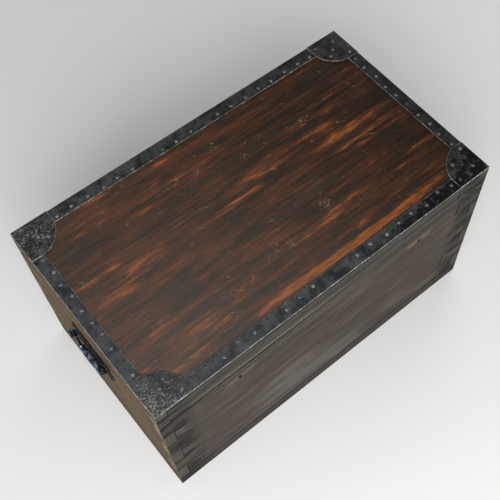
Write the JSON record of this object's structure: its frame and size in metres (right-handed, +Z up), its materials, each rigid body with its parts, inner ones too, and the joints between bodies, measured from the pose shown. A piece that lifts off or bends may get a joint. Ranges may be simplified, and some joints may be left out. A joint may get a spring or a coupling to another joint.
{
  "type": "steamer trunk",
  "caption": "Antique wooden travelling trunk: dovetailed body, hinged lid bound with nailed iron strips and corner plates, and an iron drop handle at each end.",
  "frame": {"origin": "centre of the footprint, on the floor", "axes": "+X along the trunk, the front faces -Y, +Z up"},
  "size_m": [0.955, 0.5326, 0.4862],
  "materials": {
    "wall_wood": "dark stained, waxed and worn",
    "end_wood": "brown stained, worn",
    "top_wood": "dark polish worn through to red-brown wood",
    "inner_wood": "bare",
    "black_iron": "black paint, worn and pitted",
    "nail_iron": "worn",
    "hinge_iron": "darkened",
    "handle_iron": "black paint, rubbed"
  },
  "bodies": {
    "case": {"front_board": "wall_wood", "back_board": "wall_wood", "base_rail_front": "wall_wood", "base_rail_back": "wall_wood", "left_end_board": "end_wood", "right_end_board": "end_wood", "base_rail_left": "end_wood", "base_rail_right": "end_wood", "bottom_board_1": "inner_wood", "bottom_board_2": "inner_wood", "bottom_board_3": "inner_wood", "bottom_board_4": "inner_wood", "bottom_batten_left": "inner_wood", "bottom_batten_right": "inner_wood", "base_nail_front_left": "nail_iron", "base_nail_front_right": "nail_iron", "base_nail_back_left": "nail_iron", "base_nail_back_right": "nail_iron", "hinge_leaf_body_left": "hinge_iron", "hinge_leaf_body_right": "hinge_iron", "hinge_pin_left": "hinge_iron", "hinge_pin_right": "hinge_iron", "handle_plate_left": "handle_iron", "handle_plate_right": "handle_iron", "handle_screw_left_1": "handle_iron", "handle_screw_left_2": "handle_iron", "handle_screw_left_3": "handle_iron", "handle_screw_left_4": "handle_iron", "handle_screw_right_1": "handle_iron", "handle_screw_right_2": "handle_iron", "handle_screw_right_3": "handle_iron", "handle_screw_right_4": "handle_iron"},
    "lid": {"lid_rail_front": "wall_wood", "lid_rail_back": "wall_wood", "lid_rail_left": "end_wood", "lid_rail_right": "end_wood", "top_board_front": "top_wood", "top_board_middle": "top_wood", "top_board_back": "top_wood", "lid_batten_left": "inner_wood", "lid_batten_right": "inner_wood", "edge_strip_front": "black_iron", "edge_strip_back": "black_iron", "edge_strip_left": "black_iron", "edge_strip_right": "black_iron", "corner_plate_front_left": "black_iron", "corner_plate_front_right": "black_iron", "corner_plate_back_left": "black_iron", "corner_plate_back_right": "black_iron", "hinge_leaf_lid_left": "hinge_iron", "hinge_leaf_lid_right": "hinge_iron"},
    "handle_left": {"bail_left": "handle_iron", "grip_left": "handle_iron"},
    "handle_right": {"bail_right": "handle_iron", "grip_right": "handle_iron"}
  },
  "joints": [
    {"name": "lid_hinge", "type": "hinge", "parent": "case", "child": "lid", "pos_m": [0, 0.255, 0.41415], "axis": [-1, 0, 0], "range_deg": [0, 100]},
    {"name": "handle_left_swing", "type": "hinge", "parent": "case", "child": "handle_left", "pos_m": [-0.469, 0, 0.345], "axis": [0, 1, 0], "range_deg": [0, 180]},
    {"name": "handle_right_swing", "type": "hinge", "parent": "case", "child": "handle_right", "pos_m": [0.469, 0, 0.345], "axis": [0, -1, 0], "range_deg": [0, 180]}
  ]
}
